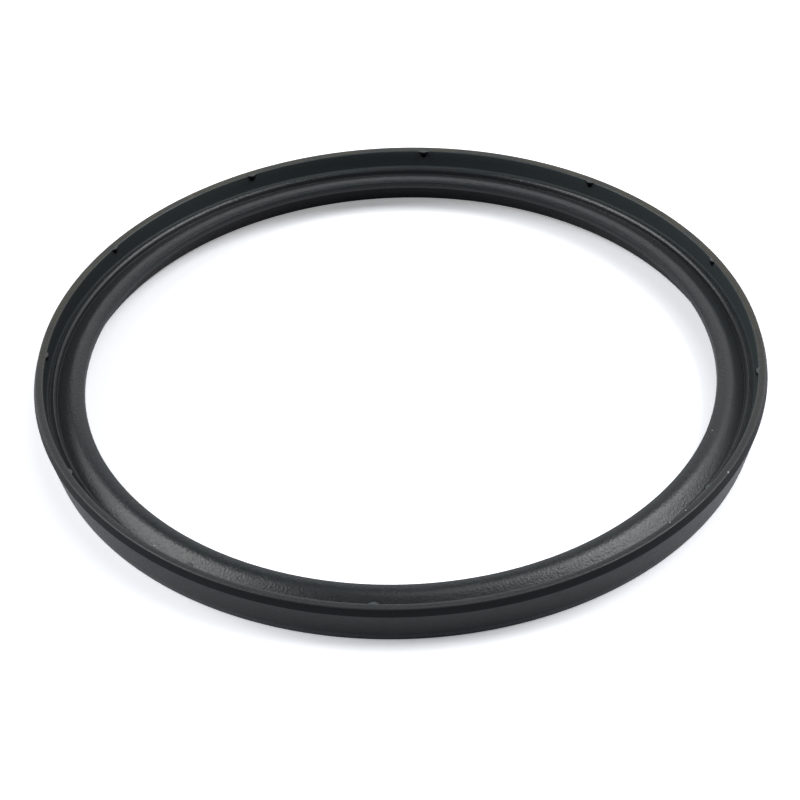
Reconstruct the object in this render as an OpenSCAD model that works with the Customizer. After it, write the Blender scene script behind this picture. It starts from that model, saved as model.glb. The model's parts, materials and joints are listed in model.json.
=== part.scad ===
/* [Ring] */
// Diameter of the bore through the sealing lip
bore_d = 60.32; // [30:0.02:160]
// Width of the section, from the bore to the widest edge outside
section_w = 4.84; // [4.5:0.01:7]
// Height from the foot to the top of the rim
ring_h = 4.5; // [3.6:0.02:8]

/* [Foot] */
// Width of the flat foot that the ring rests on
foot_w = 1.7; // [1.2:0.05:2.6]
// How far the outer wall leans out on its way up to the widest edge
wall_lean = 1.05; // [0:0.05:1.6]
// Rounding of the foot's two edges
foot_round = 0.15; // [0.05:0.01:0.4]
// Width of the heel that runs up from the foot's inner edge towards the bore
heel_w = 0.88; // [0.4:0.02:1.2]
// Height of the heel
heel_h = 0.63; // [0.3:0.01:1]
// Rounding at the top of the heel, where the undercut begins
heel_round = 0.2; // [0.05:0.01:0.5]

/* [Rim] */
// Height of the band round the outside of the rim, above the widest edge
band_h = 0.82; // [0.3:0.02:1.4]
// How far the band leans in at its top
band_lean = 0.22; // [0:0.01:0.4]
// Rounding of the widest edge, between the outer wall and the band
edge_round = 0.08; // [0.02:0.01:0.3]
// Width of the flat land on top of the rim
land_w = 0.69; // [0.4:0.01:1]
// Rounding of the land's two edges
land_round = 0.1; // [0.02:0.01:0.2]
// How far the inside of the rim leans in on its way down to the outer groove
rim_lean = 0.19; // [0:0.01:0.3]

/* [Grooves and ridge] */
// Depth of the outer groove below the top of the rim
outer_groove_depth = 2.14; // [1.6:0.02:2.6]
// Width of the outer groove at its floor
outer_groove_w = 0.38; // [0.2:0.01:0.7]
// Depth of the ridge's crest below the top of the rim
ridge_depth = 1.44; // [1:0.02:1.9]
// Width of the ridge across its crest
ridge_w = 0.17; // [0.1:0.01:0.5]
// Rounding of the ridge's crest
ridge_round = 0.08; // [0.03:0.01:0.2]
// How far the ridge's steep outer side spreads on its way down to the outer groove
ridge_spread = 0.16; // [0:0.01:0.3]
// Height of the step on the ridge's inner side, from the crest down to the shelf
step_h = 0.13; // [0.05:0.01:0.3]
// How far that step runs out on its way down
step_run = 0.12; // [0.02:0.01:0.3]
// Width of the shelf that slopes from the step down to the inner groove
shelf_w = 0.64; // [0.3:0.01:0.9]
// Depth of the inner groove below the top of the rim
inner_groove_depth = 1.81; // [1.6:0.01:2.4]
// Rounding at the floor of the outer groove
groove_round = 0.18; // [0.02:0.01:0.25]
// Rounding at the step's foot and where the shelf meets the lip's flank
shelf_round = 0.08; // [0.02:0.01:0.3]

/* [Sealing lip] */
// Depth of the lip's crown below the top of the rim
crown_depth = 1.04; // [0.2:0.02:1.3]
// Slope of the crown's outer flank, down to the inner groove
flank_angle = 38; // [25:1:60]
// Rounding between the crown and its flank
crown_round = 1.4; // [0.2:0.05:1.6]
// Width of the slope on the crown's inner side
brow_w = 0.22; // [0.1:0.01:0.4]
// Angle of that slope
brow_angle = 20; // [5:1:35]
// Rounding between the crown and that slope
brow_round = 1.1; // [0.2:0.05:1.6]
// How far the slope's lower edge stands back from the bore
nose_lean = 0.12; // [0:0.01:0.6]
// Height of the steep nose, from that edge down to the bore's wall
nose_h = 0.39; // [0.2:0.01:1]
// Rounding of that edge
nose_round = 0.05; // [0.03:0.01:0.4]
// Height of the bore's straight wall, below the nose
bore_h = 0.22; // [0.16:0.02:0.6]
// Rounding between the nose and the bore's wall
bore_round = 0.1; // [0.05:0.05:0.6]
// Rounding between the bore's wall and the undercut below it
undercut_round = 0.1; // [0.05:0.01:0.4]

/* [Nubs] */
// Number of nubs round the inside of the rim
nub_count = 12; // [3:1:24]
// Width of a nub at the top of the rim
nub_w = 1.06; // [0.6:0.02:1.6]
// How far a nub stands in from the land's inner edge
nub_reach = 0.36; // [0.2:0.02:0.5]
// Height of a nub, down from the top of the rim
nub_h = 0.84; // [0.4:0.02:1.2]
// Width of a nub at its lower end
nub_tip_w = 0.4; // [0.2:0.02:0.6]

/* [Hidden] */
$fn = 180;
rubber = [0.15, 0.16, 0.16];
arc_step = 15;
hair = 0.0001;

bore_r = bore_d / 2;
outer_r = bore_r + section_w;
foot_outer_r = outer_r - wall_lean;
foot_inner_r = foot_outer_r - foot_w;

edge_z = ring_h - band_h;
land_outer_r = outer_r - band_lean;
land_inner_r = land_outer_r - land_w;

outer_groove_z = ring_h - outer_groove_depth;
outer_groove_outer_r = land_inner_r - rim_lean;
outer_groove_inner_r = outer_groove_outer_r - outer_groove_w;

ridge_z = ring_h - ridge_depth;
ridge_outer_r = outer_groove_inner_r - ridge_spread;
ridge_inner_r = ridge_outer_r - ridge_w;
shelf_r = ridge_inner_r - step_run;

inner_groove_z = ring_h - inner_groove_depth;
inner_groove_r = shelf_r - shelf_w;

crown_z = ring_h - crown_depth;
flank_top_r = inner_groove_r - (crown_z - inner_groove_z) / tan(flank_angle);
nose_r = bore_r + nose_lean;
nose_z = crown_z - brow_w * tan(brow_angle);
bore_top_z = nose_z - nose_h;
bore_bottom_z = bore_top_z - bore_h;

// Each corner of the section: radius from the axis, height, rounding.
// They run anticlockwise from the foot, up the outside, over the rim and the grooves, to the bore.
section_corners = [
    [foot_inner_r, 0, foot_round],
    [foot_outer_r, 0, foot_round],
    [outer_r, edge_z, edge_round],
    [land_outer_r, ring_h, land_round],
    [land_inner_r, ring_h, land_round],
    [outer_groove_outer_r, outer_groove_z, groove_round],
    [outer_groove_inner_r, outer_groove_z, groove_round],
    [ridge_outer_r, ridge_z, ridge_round],
    [ridge_inner_r, ridge_z, ridge_round],
    [shelf_r, ridge_z - step_h, shelf_round],
    [inner_groove_r, inner_groove_z, shelf_round],
    [flank_top_r, crown_z, crown_round],
    [nose_r + brow_w, crown_z, brow_round],
    [nose_r, nose_z, nose_round],
    [bore_r, bore_top_z, bore_round],
    [bore_r, bore_bottom_z, undercut_round],
    [foot_inner_r - heel_w, heel_h, heel_round]
];

function point_of(corner) = [corner[0], corner[1]];
function way(from, to) = (to - from) / norm(to - from);
function left_of(v) = [-v[1], v[0]];
function turned(v, angle) = [v[0] * cos(angle) - v[1] * sin(angle), v[0] * sin(angle) + v[1] * cos(angle)];
function bend(before, at, after) = acos(way(before, at) * way(at, after));

// Points of the rounding at one corner, which starts and ends `run` away from it.
function corner_arc(before, at, after, run) =
    let (
        start_way = way(before, at),
        angle = bend(before, at, after),
        side = sign(cross(start_way, way(at, after))),
        radius = run / tan(angle / 2),
        inward = side * left_of(start_way),
        centre = at - run * start_way + radius * inward,
        steps = ceil(angle / arc_step)
    )
    [for (k = [0:steps]) centre - radius * turned(inward, side * angle * k / steps)];

// The outline with every corner rounded. Where two roundings need more than the side between them
// holds, both get smaller by the same share.
function rounded(corners) =
    let (
        n = len(corners),
        p = [for (c = corners) point_of(c)],
        angles = [for (i = [0:n - 1]) bend(p[(i + n - 1) % n], p[i], p[(i + 1) % n])],
        runs = [for (i = [0:n - 1]) corners[i][2] * tan(angles[i] / 2)],
        shares = [for (i = [0:n - 1]) let (j = (i + 1) % n) norm(p[j] - p[i]) / (runs[i] + runs[j] + hair)]
    )
    [
        for (i = [0:n - 1])
            let (share = min(1, shares[i], shares[(i + n - 1) % n]))
            each corner_arc(p[(i + n - 1) % n], p[i], p[(i + 1) % n], runs[i] * share)
    ];

module ring_section() {
    polygon(rounded(section_corners));
}

// A nub is a short half-round rib on the inside of the rim. It is widest at the top, level with the
// land, and narrows downwards until it runs into the rim's face.
module nub() {
    nub_r = nub_w / 2;
    intersection() {
        translate([land_inner_r - nub_reach + nub_r, 0, ring_h - nub_h])
            cylinder(r1 = nub_tip_w / 2, r2 = nub_r, h = nub_h);
        cylinder(r = land_outer_r - land_w / 2, h = ring_h);
    }
}

module seal_ring() {
    color(rubber)
        union() {
            rotate_extrude()
                ring_section();
            for (k = [0:nub_count - 1])
                rotate([0, 0, 90 + k * 360 / nub_count])
                    nub();
        }
}

seal_ring();
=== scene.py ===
import bmesh
import bpy
import json
import math
from mathutils import Matrix, Vector


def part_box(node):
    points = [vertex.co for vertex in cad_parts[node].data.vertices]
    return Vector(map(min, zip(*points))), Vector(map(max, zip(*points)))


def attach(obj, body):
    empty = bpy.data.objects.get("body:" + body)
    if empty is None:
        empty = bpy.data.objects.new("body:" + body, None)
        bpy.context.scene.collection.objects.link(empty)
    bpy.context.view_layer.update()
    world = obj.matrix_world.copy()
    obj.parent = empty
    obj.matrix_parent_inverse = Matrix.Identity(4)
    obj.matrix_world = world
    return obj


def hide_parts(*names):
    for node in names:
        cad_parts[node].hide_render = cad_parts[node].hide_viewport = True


mm = 0.001

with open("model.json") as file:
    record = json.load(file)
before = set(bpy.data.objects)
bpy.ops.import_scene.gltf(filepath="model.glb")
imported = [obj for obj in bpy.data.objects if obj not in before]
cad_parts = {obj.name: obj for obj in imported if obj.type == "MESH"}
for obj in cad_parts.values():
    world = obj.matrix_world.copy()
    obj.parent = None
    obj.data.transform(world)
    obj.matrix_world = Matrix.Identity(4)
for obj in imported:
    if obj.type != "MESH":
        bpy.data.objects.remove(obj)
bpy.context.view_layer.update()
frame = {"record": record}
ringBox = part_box("seal_ring")
lipBore = next(m for m in frame["record"]["mounts"] if m["name"] == "lip_bore")
print("frame loaded")

# how the ring is seen; azimuth turns the view from +Y towards -X
cameraView = {
    "azimuth": 5.34,
    "elevation": 39.6,
    "roll": -2.1,
    "distance": 397.75,  # from the centre of the foot, in mm
    "lens": 186.2,
    "sensor": 36,
    "aimRight": -0.125,  # where the view's middle lies from that centre, in mm
    "aimUp": -0.116,
    "nearest": 10,
    "farthest": 10000,
}


def addCamera(view):
    data = bpy.data.cameras.new("photoCamera")
    data.sensor_width = view["sensor"]
    data.lens = view["lens"]
    data.clip_start = view["nearest"] * mm
    data.clip_end = view["farthest"] * mm
    camera = bpy.data.objects.new("photoCamera", data)
    bpy.context.scene.collection.objects.link(camera)
    turn = Matrix.Rotation(math.radians(view["azimuth"]), 4, "Z")
    tilt = Matrix.Rotation(math.radians(90 - view["elevation"]), 4, "X")
    roll = Matrix.Rotation(math.radians(view["roll"]), 4, "Z")
    away = Matrix.Translation(Vector((view["aimRight"], view["aimUp"], view["distance"])) * mm)
    camera.matrix_world = turn @ tilt @ roll @ away
    bpy.context.scene.camera = camera


# the ring's section, in mm; depths count from the top of the rim
section = {
    "outerR": ringBox[1].x / mm,
    "boreR": lipBore["dims"]["r_mm"],
    "height": ringBox[1].z / mm,
    "footWidth": 1.7,
    "wallLean": 1.05,
    "footRound": 0.15,
    "heelWidth": 0.88,  # the heel runs up from the foot's inner edge to the undercut
    "heelHeight": 0.63,
    "heelRound": 0.2,
    "bandHeight": 0.82,
    "bandLean": 0.22,
    "edgeRound": 0.08,
    "landWidth": 0.69,
    "landRound": 0.1,
    "rimLean": 0.19,
    "outerGrooveDepth": 1.8,
    "outerGrooveWidth": 0.38,
    "grooveRound": 0.18,
    "ridgeDepth": 1.44,
    "ridgeWidth": 0.1,
    "ridgeRound": 0.1,
    "ridgeSpread": 0.26,
    "stepHeight": 0.17,  # the step on the ridge's inner side
    "stepRun": 0.18,
    "shelfWidth": 0.12,  # falls from the step down to the inner groove
    "shelfRound": 0.05,
    "innerGrooveDepth": 2.03,
    "crownDepth": 1.04,
    "flankAngle": 34.6,
    "crownRound": 1.4,
    "browWidth": 0.22,  # the slope on the crown's inner side
    "browAngle": 17,
    "browRound": 1.1,
    "noseLean": 0.12,
    "noseHeight": 0.39,
    "noseRound": 0.05,
    "boreHeight": 0.22,
    "boreRound": 0.1,
    "undercutRound": 0.1,
    "arcStep": 12,  # degrees of turn for each edge of a rounding
    "longestEdge": 0.5,
    "rimEdge": 0.11,  # edge length down the inside of the rim, where the nubs stand
    "slack": 0.01,  # a point this near a face counts as on it
    "weld": 0.002,
}

# small half-round ribs on the inside of the rim, in mm
nubs = {
    "count": 12,
    "width": 1.06,
    "reach": 0.36,
    "height": 0.84,
    "tipWidth": 0.4,
    "blend": 0.06,
    "zone": 2.6,  # degrees of finer mesh round a nub
    "zoneSteps": 20,
    "restSteps": 36,  # steps from one zone to the next
}

# how far from the section's corners each finish of the rubber ends, in mm
finishEdges = {
    "bandTop": 0.07,  # below the top of the rim
    "wallTop": 0.1,  # below the outer groove's floor
    "wallInside": 0.05,  # in from the foot's outer edge
    "nubFace": 0.03,  # in from the rim's face
    "groove": 0.04,  # in from the outer groove's floor
    "nose": 0.03,  # out from the nose's edge and above it
    "heel": 0.1,  # out from the foot's inner edge
}


def cornerPlaces(s):
    # the radii and heights that the section's sizes lead to
    c = {}
    c["footOuterR"] = s["outerR"] - s["wallLean"]
    c["footInnerR"] = c["footOuterR"] - s["footWidth"]
    c["heelR"] = c["footInnerR"] - s["heelWidth"]
    c["edgeZ"] = s["height"] - s["bandHeight"]
    c["landOuterR"] = s["outerR"] - s["bandLean"]
    c["landInnerR"] = c["landOuterR"] - s["landWidth"]
    c["outerGrooveZ"] = s["height"] - s["outerGrooveDepth"]
    c["outerGrooveOuterR"] = c["landInnerR"] - s["rimLean"]
    c["outerGrooveInnerR"] = c["outerGrooveOuterR"] - s["outerGrooveWidth"]
    c["ridgeZ"] = s["height"] - s["ridgeDepth"]
    c["ridgeOuterR"] = c["outerGrooveInnerR"] - s["ridgeSpread"]
    c["ridgeInnerR"] = c["ridgeOuterR"] - s["ridgeWidth"]
    c["shelfR"] = c["ridgeInnerR"] - s["stepRun"]
    c["innerGrooveZ"] = s["height"] - s["innerGrooveDepth"]
    c["innerGrooveR"] = c["shelfR"] - s["shelfWidth"]
    c["crownZ"] = s["height"] - s["crownDepth"]
    flankRun = (c["crownZ"] - c["innerGrooveZ"]) / math.tan(math.radians(s["flankAngle"]))
    c["flankTopR"] = c["innerGrooveR"] - flankRun
    c["noseR"] = s["boreR"] + s["noseLean"]
    c["noseZ"] = c["crownZ"] - s["browWidth"] * math.tan(math.radians(s["browAngle"]))
    c["boreTopZ"] = c["noseZ"] - s["noseHeight"]
    c["boreBottomZ"] = c["boreTopZ"] - s["boreHeight"]
    return c


def sectionCorners(s, c):
    # radius, height and rounding of each corner, from the foot up the outside and over the top to the bore
    return [
        (c["footInnerR"], 0, s["footRound"]),
        (c["footOuterR"], 0, s["footRound"]),
        (s["outerR"], c["edgeZ"], s["edgeRound"]),
        (c["landOuterR"], s["height"], s["landRound"]),
        (c["landInnerR"], s["height"], s["landRound"]),
        (c["outerGrooveOuterR"], c["outerGrooveZ"], s["grooveRound"]),
        (c["outerGrooveInnerR"], c["outerGrooveZ"], s["grooveRound"]),
        (c["ridgeOuterR"], c["ridgeZ"], s["ridgeRound"]),
        (c["ridgeInnerR"], c["ridgeZ"], s["ridgeRound"]),
        (c["shelfR"], c["ridgeZ"] - s["stepHeight"], s["shelfRound"]),
        (c["innerGrooveR"], c["innerGrooveZ"], s["shelfRound"]),
        (c["flankTopR"], c["crownZ"], s["crownRound"]),
        (c["noseR"] + s["browWidth"], c["crownZ"], s["browRound"]),
        (c["noseR"], c["noseZ"], s["noseRound"]),
        (s["boreR"], c["boreTopZ"], s["boreRound"]),
        (s["boreR"], c["boreBottomZ"], s["undercutRound"]),
        (c["heelR"], s["heelHeight"], s["heelRound"]),
    ]


def startOutline(bm, s, c):
    # the section as one face above the +Y axis; its corners are rounded one by one, and then only the
    # loop of edges is left
    corners = sectionCorners(s, c)
    points = [Vector((0, r, z)) for r, z, rounding in corners]
    verts = [bm.verts.new(p) for p in points]
    bm.faces.new(verts)
    for i, vert in enumerate(verts):
        after = points[(i + 1) % len(points)]
        angle = (points[i] - points[i - 1]).angle(after - points[i])
        bmesh.ops.bevel(
            bm, geom=[vert], affect="VERTICES", offset_type="OFFSET", profile=0.5, material=-1,
            offset=corners[i][2] * math.tan(angle / 2),
            segments=max(2, math.ceil(math.degrees(angle) / s["arcStep"])),
        )
    bmesh.ops.delete(bm, geom=bm.faces[:], context="FACES_ONLY")
    innermost = c["outerGrooveOuterR"] - s["slack"]
    outermost = c["landInnerR"] + s["slack"]
    for edge in bm.edges[:]:
        onRimFace = all(innermost < v.co.y < outermost for v in edge.verts)
        longest = s["rimEdge"] if onRimFace else s["longestEdge"]
        cuts = math.ceil(edge.calc_length() / longest) - 1
        if cuts > 0:
            bmesh.ops.subdivide_edges(bm, edges=[edge], cuts=cuts)


def spinOn(bm, geom, degrees, steps):
    made = bmesh.ops.spin(
        bm, geom=geom, cent=(0, 0, 0), axis=(0, 0, 1), angle=math.radians(degrees), steps=steps,
    )
    return made["geom_last"]


def nubStand(across, depth, s, n):
    # how far the nub stands in from the rim's face, at this place across it and this depth
    narrowing = (n["width"] - n["tipWidth"]) / 2 * depth / n["height"]
    halfWidth = n["width"] / 2 - narrowing
    faceBack = s["rimLean"] * depth / s["outerGrooveDepth"]
    nose = math.sqrt(max(0, halfWidth ** 2 - across ** 2))
    flat = n["reach"] - n["width"] / 2
    stand = nose - faceBack + flat
    return (stand - flat + math.hypot(stand, n["blend"]) - math.hypot(flat, n["blend"])) / 2


def pushNub(bm, s, c, n):
    innermost = c["outerGrooveOuterR"] - s["slack"]
    outermost = c["landInnerR"] + s["landRound"] + s["slack"]
    for vert in bm.verts:
        r = vert.co.xy.length
        depth = s["height"] - vert.co.z
        if depth > n["height"] or not innermost < r < outermost:
            continue
        across = r * math.atan2(vert.co.x, vert.co.y)
        stand = nubStand(across, max(depth, s["landRound"]), s, n)
        vert.co.xy *= (r - max(0, stand)) / r


def finishOf(face, s, c, n, f):
    # which of the ring's finishes a face gets, by where its middle lies on the section
    middle = face.calc_center_median() / mm
    r = middle.xy.length
    z = middle.z
    if r > c["landInnerR"]:
        if z < c["edgeZ"]:
            return "wallRubber"
        # the band is matt and darker, the darker colour as painted shade
        onBand = r > c["landOuterR"] - s["landRound"] and z < s["height"] - f["bandTop"]
        return "mattPaintedShadeRubber" if onBand else "mouldedRubber"
    if r > c["footOuterR"] - f["wallInside"] and z < c["outerGrooveZ"] - f["wallTop"]:
        return "wallRubber"
    if z > s["height"] - n["height"]:
        rimFaceR = c["landInnerR"] - s["rimLean"] * (s["height"] - z) / s["outerGrooveDepth"]
        # nub faces are blackest, as painted shadow below the nubs
        if c["ridgeOuterR"] < r < rimFaceR - f["nubFace"]:
            return "blackPaintedShadeRubber"
        return "mattPaintedShadeRubber" if z < s["height"] - s["landRound"] else "mouldedRubber"
    # the outer groove is matt and darker, the darker colour as painted shade
    if r > c["outerGrooveInnerR"] - f["groove"]:
        return "mattPaintedShadeRubber"
    if r < c["noseR"] + f["nose"] and c["boreBottomZ"] < z < c["noseZ"] + f["nose"]:
        return "wallRubber"
    # the heel and the undercut are blackest, as painted shade under the lip
    if r < c["footInnerR"] + f["heel"] and z < c["boreBottomZ"]:
        return "blackPaintedShadeRubber"
    return "mouldedRubber"


def addRing(s, c, n, f, finishNames):
    # one share of the ring starts with a fine zone round a nub; its turned copies close the ring
    bm = bmesh.new()
    startOutline(bm, s, c)
    halfZone = math.radians(n["zone"] / 2)
    bmesh.ops.rotate(bm, verts=bm.verts[:], cent=(0, 0, 0), matrix=Matrix.Rotation(-halfZone, 3, "Z"))
    zoneEnd = spinOn(bm, bm.verts[:] + bm.edges[:], n["zone"], n["zoneSteps"])
    pushNub(bm, s, c, n)
    spinOn(bm, zoneEnd, 360 / n["count"] - n["zone"], n["restSteps"])
    share = bm.verts[:] + bm.edges[:] + bm.faces[:]
    for k in range(1, n["count"]):
        copied = bmesh.ops.duplicate(bm, geom=share)["geom"]
        moved = [g for g in copied if isinstance(g, bmesh.types.BMVert)]
        turn = Matrix.Rotation(2 * math.pi * k / n["count"], 3, "Z")
        bmesh.ops.rotate(bm, verts=moved, cent=(0, 0, 0), matrix=turn)
    bmesh.ops.remove_doubles(bm, verts=bm.verts[:], dist=s["weld"])
    bmesh.ops.recalc_face_normals(bm, faces=bm.faces[:])
    bmesh.ops.scale(bm, vec=(mm, mm, mm), verts=bm.verts[:])
    for face in bm.faces:
        face.smooth = True
        face.material_index = finishNames.index(finishOf(face, s, c, n, f))
    mesh = bpy.data.meshes.new("sealRing")
    bm.to_mesh(mesh)
    bm.free()
    ring = bpy.data.objects.new("sealRing", mesh)
    bpy.context.scene.collection.objects.link(ring)
    print("ring made:", len(mesh.polygons), "faces")
    return ring


# black rubber with painted light in its colour: a painted highlight along the land's edges, a painted warm
# reflection on the land's far half, and painted light between the rim and the ridge and in the outer
# groove, less on the left as painted shade; sizes in mm, and each pair says where a fade starts and where
# it ends
rubber = {
    "base": (0.0165, 0.0195, 0.0205),
    "gloss": 0.5,
    "roughness": 0.33,
    "roughnessSpread": 0.13,
    "grainSize": 0.21,
    "grainDepth": 0.03,
    "grainDetail": 2,
    "edgeHighlight": (0.030, 0.032, 0.031),  # painted highlight along the land's two edges
    "edgeHighlightFade": (0.24, 0.08),  # in from those edges
    "landFade": (0.2, 0.02),  # below the top of the rim
    "warmReflection": (0.038, 0.034, 0.022),  # painted warm reflection on the far half of the land
    "warmReflectionFade": (-0.45, 0.4),  # along Y, as a share of the land's radius
    "patchSize": 2.5,
    "patchDetail": 3,
    "patchFade": (0.2, 0.7),
    # painted light on the rim's inner face, down to the ridge
    "rimLight": (0.045, 0.054, 0.056),
    "rimLightInnerFade": (0.9, 0.6),  # in from the land's inner edge
    "rimLightOuterFade": (0.12, 0.02),  # out from that edge
    "rimLightLeftFade": (-1.3, -0.6),  # painted shade: the painted light fades out towards the left, along X, as a share of the land's radius
    "grooveLight": (0.11, 0.125, 0.12),  # painted light on the ridge's outer side, down in the outer groove
    "crestFade": (-0.02, 0.04),  # out from the outer edge of the ridge's crest
    "crestDrop": 0.06,  # below the crest
    "floorFade": (0.1, 0),  # out from the inner edge of the outer groove's floor
}

# the outer wall and the nose are duller; the band, the rim's inner face and the outer groove are matt,
# with a darker colour as painted shade; the nubs and the lip's underside are blackest, as painted shadow
# below the nubs and painted shade under the lip; faces are given these names by where they lie
finishes = {
    "mouldedRubber": rubber,
    "wallRubber": {**rubber, "gloss": 0.32},
    # matt, and darker in colour as painted shade
    "mattPaintedShadeRubber": {**rubber, "base": (0.0075, 0.009, 0.0105), "roughness": 0.42, "gloss": 0.16},
    # blackest: painted shadow below the nubs and painted shade under the lip, with no painted light on the
    # rim
    "blackPaintedShadeRubber": {
        **rubber, "base": (0.0065, 0.0072, 0.008), "rimLight": (0.005, 0.0055, 0.006),
        "roughness": 0.45, "gloss": 0.06,
    },
}

# white dust specks on the near half: degrees from +Y towards +X, radius, height and size
specks = {
    "colour": (0.42, 0.45, 0.42),
    "places": [
        (115.4, 34.74, 4.5, 0.13),
        (126.5, 34.28, 4.5, 0.08),
        (130.2, 34.24, 4.5, 0.09),
        (104.6, 30.83, 3.46, 0.07),
        (-140.2, 32.58, 2.67, 0.1),
    ],
}


def addNode(tree, kind, **values):
    node = tree.nodes.new(kind)
    for name, value in values.items():
        node.inputs[name.replace("_", " ")].default_value = value
    return node


def addMath(tree, operation, first, second):
    node = tree.nodes.new("ShaderNodeMath")
    node.operation = operation
    for socket, value in zip(node.inputs, (first, second)):
        if isinstance(value, bpy.types.NodeSocket):
            tree.links.new(value, socket)
        else:
            socket.default_value = value
    return node.outputs["Value"]


def multiplyAll(tree, first, *others):
    product = first
    for other in others:
        product = addMath(tree, "MULTIPLY", product, other)
    return product


def addSpan(tree, operation, place, point):
    # a vector node between the place on the piece and a fixed point
    node = tree.nodes.new("ShaderNodeVectorMath")
    node.operation = operation
    tree.links.new(place, node.inputs[0])
    node.inputs[1].default_value = point
    return node


def addMask(tree, value, start, end):
    # 0 up to the start and 1 past the end, with a soft step between
    mask = addNode(tree, "ShaderNodeMapRange", From_Min=start, From_Max=end)
    mask.interpolation_type = "SMOOTHSTEP"
    tree.links.new(value, mask.inputs["Value"])
    return mask.outputs["Result"]


def addTint(tree, below, colour, amount):
    tint = tree.nodes.new("ShaderNodeMix")
    tint.data_type = "RGBA"
    if isinstance(below, bpy.types.NodeSocket):
        tree.links.new(below, tint.inputs[6])
    else:
        tint.inputs[6].default_value = (*below, 1)
    tint.inputs[7].default_value = (*colour, 1)
    tree.links.new(amount, tint.inputs["Factor"])
    return tint.outputs[2]


def baseWithPaintedLight(tree, place, r, s, c):
    # the base colour with painted light: a painted highlight along the land's edges, a painted warm
    # reflection on the land's far half, painted light between the rim and the ridge and in the outer
    # groove; and white dust specks
    split = addNode(tree, "ShaderNodeSeparateXYZ")
    tree.links.new(place, split.inputs["Vector"])
    height = split.outputs["Z"]
    flat = addSpan(tree, "MULTIPLY", place, (1, 1, 0))
    radius = addSpan(tree, "LENGTH", flat.outputs["Vector"], (0, 0, 0)).outputs["Value"]
    landInnerR = c["landInnerR"] * mm
    landMiddle = landInnerR + s["landWidth"] / 2 * mm

    onLand = addMask(tree, height, *[(s["height"] - d) * mm for d in r["landFade"]])
    offMiddle = addMath(tree, "ABSOLUTE", addMath(tree, "SUBTRACT", radius, landMiddle), 0)
    nearEdge = addMask(tree, offMiddle, *[(s["landWidth"] / 2 - d) * mm for d in r["edgeHighlightFade"]])
    # painted highlight along the land's two edges
    colour = addTint(tree, r["base"], r["edgeHighlight"], multiplyAll(tree, onLand, nearEdge))

    # painted warm reflection in soft patches on the far half of the land
    patches = addNode(tree, "ShaderNodeTexNoise", Scale=1 / (r["patchSize"] * mm), Detail=r["patchDetail"])
    tree.links.new(place, patches.inputs["Vector"])
    patchy = addMask(tree, patches.outputs["Fac"], *r["patchFade"])
    farHalf = addMask(tree, split.outputs["Y"], *[share * landInnerR for share in r["warmReflectionFade"]])
    colour = addTint(tree, colour, r["warmReflection"], multiplyAll(tree, onLand, farHalf, patchy))

    # painted light on the rim's inner face down to the ridge, fading out on the left as painted shade
    offRidge = addMask(tree, radius, *[landInnerR - d * mm for d in r["rimLightInnerFade"]])
    inRing = addMask(tree, radius, *[landInnerR + d * mm for d in r["rimLightOuterFade"]])
    offLeft = addMask(tree, split.outputs["X"], *[share * landInnerR for share in r["rimLightLeftFade"]])
    colour = addTint(tree, colour, r["rimLight"], multiplyAll(tree, offRidge, inRing, offLeft))

    # painted light on the ridge's outer side, down in the shaded outer groove
    pastCrest = addMask(tree, radius, *[(c["ridgeOuterR"] + d) * mm for d in r["crestFade"]])
    onSide = addMask(tree, radius, *[(c["outerGrooveInnerR"] + d) * mm for d in r["floorFade"]])
    underCrest = addMask(tree, height, c["ridgeZ"] * mm, (c["ridgeZ"] - r["crestDrop"]) * mm)
    colour = addTint(tree, colour, r["grooveLight"], multiplyAll(tree, pastCrest, onSide, underCrest))

    # white dust specks
    for angle, out, up, size in specks["places"]:
        turn = math.radians(angle)
        point = Vector((out * math.sin(turn), out * math.cos(turn), up)) * mm
        away = addSpan(tree, "DISTANCE", place, point)
        onSpeck = addMask(tree, away.outputs["Value"], size * mm, size / 2 * mm)
        colour = addTint(tree, colour, specks["colour"], onSpeck)
    return colour


def rubberMaterial(name, r, s, c):
    material = bpy.data.materials.new(name)
    material.use_nodes = True
    tree = material.node_tree
    tree.nodes.clear()
    link = tree.links.new
    place = addNode(tree, "ShaderNodeTexCoord").outputs["Object"]
    output = addNode(tree, "ShaderNodeOutputMaterial")
    shader = addNode(tree, "ShaderNodeBsdfPrincipled", Specular_IOR_Level=r["gloss"])
    link(shader.outputs["BSDF"], output.inputs["Surface"])
    link(baseWithPaintedLight(tree, place, r, s, c), shader.inputs["Base Color"])

    # fine moulded grain, which also breaks up the sheen
    grain = addNode(tree, "ShaderNodeTexNoise", Scale=1 / (r["grainSize"] * mm), Detail=r["grainDetail"])
    link(place, grain.inputs["Vector"])
    bump = addNode(tree, "ShaderNodeBump", Strength=1, Distance=r["grainDepth"] * mm)
    link(grain.outputs["Fac"], bump.inputs["Height"])
    link(bump.outputs["Normal"], shader.inputs["Normal"])
    offMean = addMath(tree, "SUBTRACT", grain.outputs["Fac"], 0.5)
    spread = addMath(tree, "MULTIPLY", offMean, 2 * r["roughnessSpread"])
    link(addMath(tree, "ADD", spread, r["roughness"]), shader.inputs["Roughness"])
    return material


# a plain white table that stays white to the camera away from the ring's shadow
table = {
    "size": 2400,
    "colour": (0.72, 0.72, 0.75),
    "seenColour": (1.04, 1.05, 1.1),  # as the camera sees it, so that faint shadow ends in plain white
    "lift": 0.3,
    "glossLift": 0.03,
}


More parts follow.
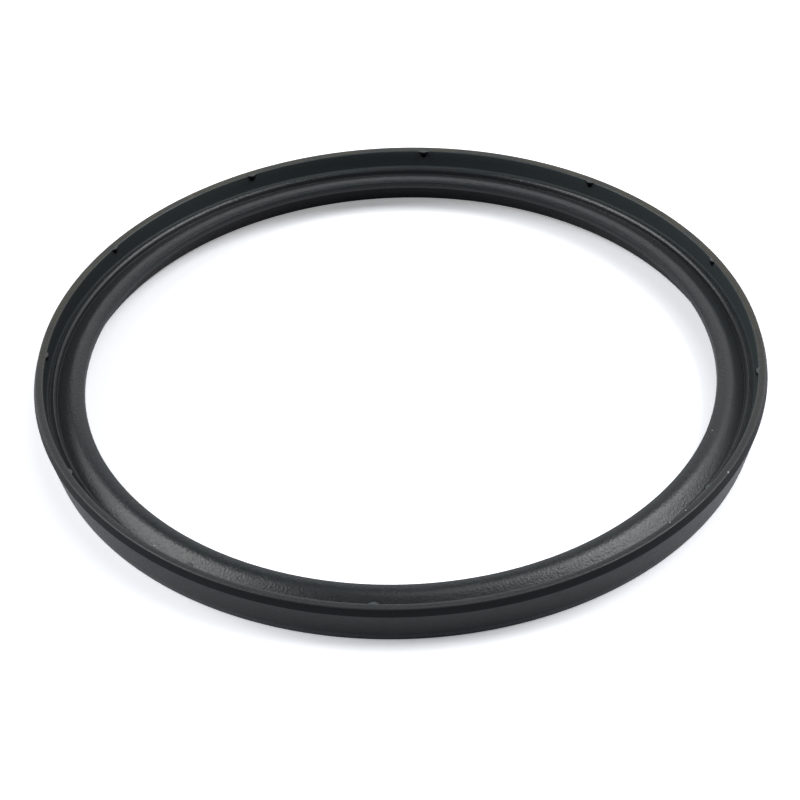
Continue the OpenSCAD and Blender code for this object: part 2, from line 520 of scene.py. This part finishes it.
def whiteTable(t):
    material = bpy.data.materials.new("whiteTable")
    material.use_nodes = True
    tree = material.node_tree
    tree.nodes.clear()
    link = tree.links.new
    output = addNode(tree, "ShaderNodeOutputMaterial")
    surface = addNode(tree, "ShaderNodeBsdfDiffuse")
    lift = addNode(tree, "ShaderNodeEmission", Color=(1, 1, 1, 1))
    rays = addNode(tree, "ShaderNodeLightPath").outputs
    link(addTint(tree, t["colour"], t["seenColour"], rays["Is Camera Ray"]), surface.inputs["Color"])
    seen = addMath(tree, "MULTIPLY", rays["Is Camera Ray"], t["lift"])
    mirrored = addMath(tree, "ADD", rays["Is Glossy Ray"], rays["Is Transmission Ray"])
    mirroredLift = addMath(tree, "MULTIPLY", mirrored, t["glossLift"])
    both = addNode(tree, "ShaderNodeAddShader")
    link(addMath(tree, "ADD", seen, mirroredLift), lift.inputs["Strength"])
    link(surface.outputs["BSDF"], both.inputs[0])
    link(lift.outputs["Emission"], both.inputs[1])
    link(both.outputs["Shader"], output.inputs["Surface"])
    return material


def addTable(t):
    bm = bmesh.new()
    bmesh.ops.create_grid(bm, x_segments=1, y_segments=1, size=t["size"] / 2 * mm)
    mesh = bpy.data.meshes.new("table")
    bm.to_mesh(mesh)
    bm.free()
    floor = bpy.data.objects.new("table", mesh)
    bpy.context.scene.collection.objects.link(floor)
    mesh.materials.append(whiteTable(t))


# soft boxes round the ring, in mm and watts: azimuth from the far side towards the right as the camera
# sees it, in degrees
lamps = {
    "rightBox": {"azimuth": 83, "elevation": 52, "distance": 500, "size": (300, 240), "power": 1.45},
    "rightLow": {"azimuth": 80, "elevation": 26, "distance": 500, "size": (480, 170), "power": 0.35},
    "leftBox": {"azimuth": -90, "elevation": 48, "distance": 500, "size": (290, 210), "power": 1.1},
    "leftLow": {"azimuth": -84, "elevation": 26, "distance": 500, "size": (480, 170), "power": 0.8},
    "backBox": {"azimuth": 8, "elevation": 31, "distance": 600, "size": (900, 270), "power": 0.85},
    "topBox": {"azimuth": 95, "elevation": 76, "distance": 500, "size": (260, 260), "power": 0.35},
}
studio = {"colour": (0.72, 0.86, 1.0), "strength": 0.1}


def addLamp(name, lamp, view):
    data = bpy.data.lights.new(name, "AREA")
    data.shape = "RECTANGLE"
    data.size = lamp["size"][0] * mm
    data.size_y = lamp["size"][1] * mm
    data.energy = lamp["power"]
    box = bpy.data.objects.new(name, data)
    bpy.context.scene.collection.objects.link(box)
    turn = Matrix.Rotation(math.radians(view["azimuth"] + 180 - lamp["azimuth"]), 4, "Z")
    tilt = Matrix.Rotation(math.radians(90 - lamp["elevation"]), 4, "X")
    box.matrix_world = turn @ tilt @ Matrix.Translation((0, 0, lamp["distance"] * mm))


def addWorld(w):
    world = bpy.data.worlds.new("studio")
    world.use_nodes = True
    background = world.node_tree.nodes["Background"]
    background.inputs["Color"].default_value = (*w["colour"], 1)
    background.inputs["Strength"].default_value = w["strength"]
    bpy.context.scene.world = world


addCamera(cameraView)
print("camera placed")

ringCorners = cornerPlaces(section)
ring = addRing(section, ringCorners, nubs, finishEdges, list(finishes))
for name, finish in finishes.items():
    ring.data.materials.append(rubberMaterial(name, finish, section, ringCorners))
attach(ring, "root")
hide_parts("seal_ring")

addTable(table)
for name, lamp in lamps.items():
    addLamp(name, lamp, cameraView)
addWorld(studio)
bpy.context.scene.view_settings.view_transform = "Standard"
print("table and lights placed")
